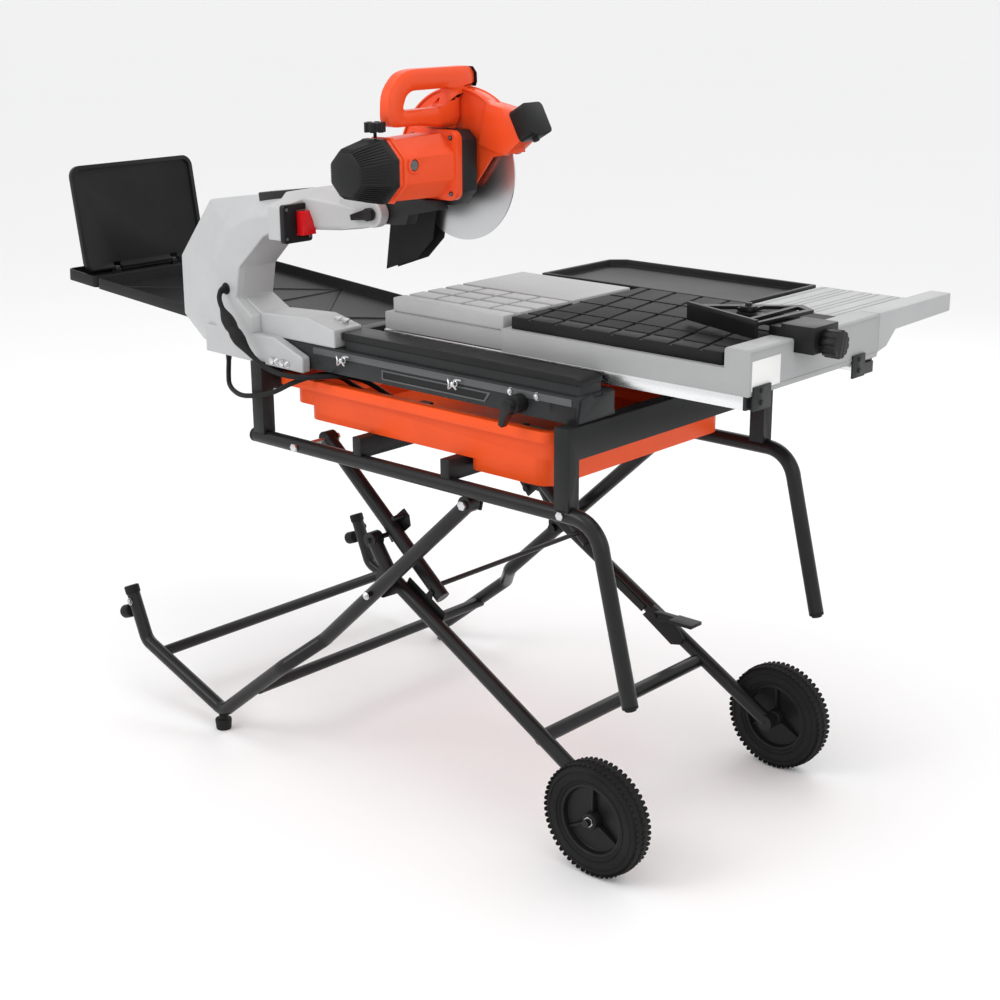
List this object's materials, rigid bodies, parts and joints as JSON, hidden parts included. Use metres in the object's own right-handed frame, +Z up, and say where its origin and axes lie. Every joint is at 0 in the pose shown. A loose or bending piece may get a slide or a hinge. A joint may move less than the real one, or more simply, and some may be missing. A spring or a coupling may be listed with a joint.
{
  "type": "tile cutter",
  "caption": "Wet tile cutter: sliding table and plunging blade head on an overhanging arm, with water tub and rear trays, on a folding scissor stand with wheels.",
  "frame": {"origin": "on the floor, under the middle of the two long stand rails, half-way between them", "axes": "+X along the cut, towards the operator end of the table; +Y away from the arm; +Z up"},
  "size_m": [1.9771, 0.8983, 1.388],
  "materials": {
    "frame_paint": "satin",
    "deck_paint": "satin",
    "black_rubber": "matte",
    "tyre_rubber": "matte",
    "black_plastic": "matte",
    "plain_steel": "brushed",
    "base_paint": "satin",
    "tub_plastic": "satin",
    "orange_plastic": "satin",
    "cast_grey": "painted",
    "gear_grey": "painted",
    "table_grey": "painted",
    "pad_grey": "matte",
    "bright_aluminium": "satin",
    "red_plastic": "gloss"
  },
  "bodies": {
    "stand_and_base": {"stand_rails": "frame_paint", "front_arms": "frame_paint", "tube_caps": "black_rubber", "deck_frame": "deck_paint", "tub_bearers": "deck_paint", "stand_bolts": "plain_steel", "base_boxes": "base_paint", "base_end_plates": "base_paint", "roller_covers": "black_plastic", "cable_hooks": "plain_steel", "water_tub": "tub_plastic", "drain_plug": "tub_plastic", "pump": "black_plastic", "arm_casting": "cast_grey", "arm_back_cover": "black_plastic", "switch_box": "black_plastic", "rear_trays": "black_plastic", "supply_cord": "black_rubber", "supply_plug": "black_plastic", "inline_lead": "black_rubber"},
    "foot_legs": {"foot_frame": "frame_paint", "rubber_feet": "black_rubber", "tail_bumpers": "black_rubber"},
    "wheel_legs": {"wheel_frame": "frame_paint", "latch_plates": "black_plastic"},
    "links": {"link_tubes": "frame_paint", "latch_rod": "plain_steel"},
    "collars": {"slide_collars": "plain_steel"},
    "pedal": {"foot_pedal": "black_plastic"},
    "release": {"release_bar": "deck_paint"},
    "near_wheel": {"near_tyre": "tyre_rubber", "near_hub": "black_plastic"},
    "far_wheel": {"far_tyre": "tyre_rubber", "far_hub": "black_plastic"},
    "rear_roller": {"rear_roller": "plain_steel"},
    "front_roller": {"front_roller": "plain_steel"},
    "table_lock": {"table_lock": "black_plastic"},
    "switch_rocker": {"rocker": "red_plastic"},
    "pivot_lever": {"pivot_lever": "black_plastic"},
    "head": {"head_bracket": "gear_grey", "motor_housing": "orange_plastic", "motor_cap": "black_plastic", "head_handle": "orange_plastic", "gearbox": "gear_grey", "blade_guard": "orange_plastic", "laser_module": "black_plastic", "splash_flaps": "black_rubber"},
    "stop_knob": {"stop_knob": "black_plastic"},
    "blade": {"saw_blade": "plain_steel"},
    "table": {"table_tray": "table_grey", "table_pads": "pad_grey", "rubber_mat": "black_rubber", "table_rails": "bright_aluminium", "rail_brackets": "base_paint", "far_tray": "black_plastic", "side_extension": "pad_grey"},
    "guide": {"guide_clamp": "black_plastic"},
    "guide_knob": {"guide_knob": "black_plastic"},
    "angle_guide": {"angle_guide": "black_plastic"},
    "splash_panel": {"splash_panel": "black_plastic"}
  },
  "joints": [
    {"name": "stand_fold", "type": "hinge", "parent": "stand_and_base", "child": "foot_legs", "pos_m": [0.151, 0, 0.628], "axis": [0, 1, 0], "range_deg": [0, 9]},
    {"name": "scissor", "type": "hinge", "parent": "foot_legs", "child": "wheel_legs", "pos_m": [-0.104, 0, 0.39325], "axis": [0, 1, 0], "range_deg": [-16.2, 0]},
    {"name": "link_swing", "type": "hinge", "parent": "stand_and_base", "child": "links", "pos_m": [-0.285, 0, 0.66], "axis": [0, 1, 0], "range_deg": [-2.8, 0]},
    {"name": "collar_turn", "type": "hinge", "parent": "wheel_legs", "child": "collars", "pos_m": [-0.132, 0, 0.49], "axis": [0, 1, 0], "range_deg": [0, 4.4]},
    {"name": "near_wheel_spin", "type": "hinge", "parent": "wheel_legs", "child": "near_wheel", "pos_m": [0.464, -0.292, 0.109], "axis": [0, 1, 0], "continuous": true},
    {"name": "far_wheel_spin", "type": "hinge", "parent": "wheel_legs", "child": "far_wheel", "pos_m": [0.464, 0.292, 0.109], "axis": [0, 1, 0], "continuous": true},
    {"name": "pedal_press", "type": "hinge", "parent": "wheel_legs", "child": "pedal", "pos_m": [0.20246, 0.2275, 0.27702], "axis": [0, 1, 0], "range_deg": [0, 12], "stiffness_Nm_per_rad": 8},
    {"name": "release_slide", "type": "slide", "parent": "wheel_legs", "child": "release", "axis": [-0.868, 0, 0.4965], "range_m": [0, 0.012]},
    {"name": "table_slide", "type": "slide", "parent": "stand_and_base", "child": "table", "axis": [1, 0, 0], "range_m": [-0.5, 0]},
    {"name": "rear_roller_spin", "type": "hinge", "parent": "stand_and_base", "child": "rear_roller", "pos_m": [-0.15, 0, 0.8548], "axis": [0, 1, 0], "continuous": true},
    {"name": "front_roller_spin", "type": "hinge", "parent": "stand_and_base", "child": "front_roller", "pos_m": [0.29, 0, 0.8548], "axis": [0, 1, 0], "continuous": true},
    {"name": "table_lock_turn", "type": "hinge", "parent": "stand_and_base", "child": "table_lock", "pos_m": [0.274, -0.3, 0.836], "axis": [0, 1, 0], "range_deg": [0, 60]},
    {"name": "switch_press", "type": "hinge", "parent": "stand_and_base", "child": "switch_rocker", "pos_m": [-0.262, -0.291, 1.099], "axis": [0, 1, 0], "range_deg": [-8, 0]},
    {"name": "pivot_lever_turn", "type": "hinge", "parent": "stand_and_base", "child": "pivot_lever", "pos_m": [-0.104, -0.226, 1.125], "axis": [0, 1, 0], "range_deg": [0, 40]},
    {"name": "head_plunge", "type": "hinge", "parent": "stand_and_base", "child": "head", "pos_m": [-0.104, -0.226, 1.125], "axis": [0, 1, 0], "range_deg": [0, 51]},
    {"name": "stop_knob_turn", "type": "hinge", "parent": "head", "child": "stop_knob", "pos_m": [0.019, -0.366, 1.29], "axis": [0, 0, 1], "continuous": true},
    {"name": "blade_spin", "type": "hinge", "parent": "head", "child": "blade", "pos_m": [0.019, -0.148, 1.205], "axis": [0, 1, 0], "continuous": true},
    {"name": "guide_slide", "type": "slide", "parent": "table", "child": "guide", "axis": [0, 1, 0], "range_m": [0, 0.14]},
    {"name": "guide_knob_turn", "type": "hinge", "parent": "guide", "child": "guide_knob", "pos_m": [0.731, -0.038, 0.966], "axis": [1, 0, 0], "continuous": true},
    {"name": "guide_swivel", "type": "hinge", "parent": "guide", "child": "angle_guide", "pos_m": [0.548, 0.002, 0.99], "axis": [0, 0, 1], "range_deg": [-15, 0]},
    {"name": "splash_fold", "type": "hinge", "parent": "stand_and_base", "child": "splash_panel", "pos_m": [-1.164, 0.01, 0.882], "axis": [0, 1, 0], "range_deg": [0, 80]}
  ],
  "couplings": [
    {"joint": "scissor", "follows": "stand_fold", "ratio": -1.797},
    {"joint": "link_swing", "follows": "stand_fold", "ratio": -0.31},
    {"joint": "collar_turn", "follows": "stand_fold", "ratio": 0.487},
    {"joint": "release_slide", "follows": "pedal_press", "m_per_rad": 0.05252},
    {"joint": "rear_roller_spin", "follows": "table_slide", "rad_per_m": 62.5},
    {"joint": "front_roller_spin", "follows": "table_slide", "rad_per_m": 62.5}
  ]
}
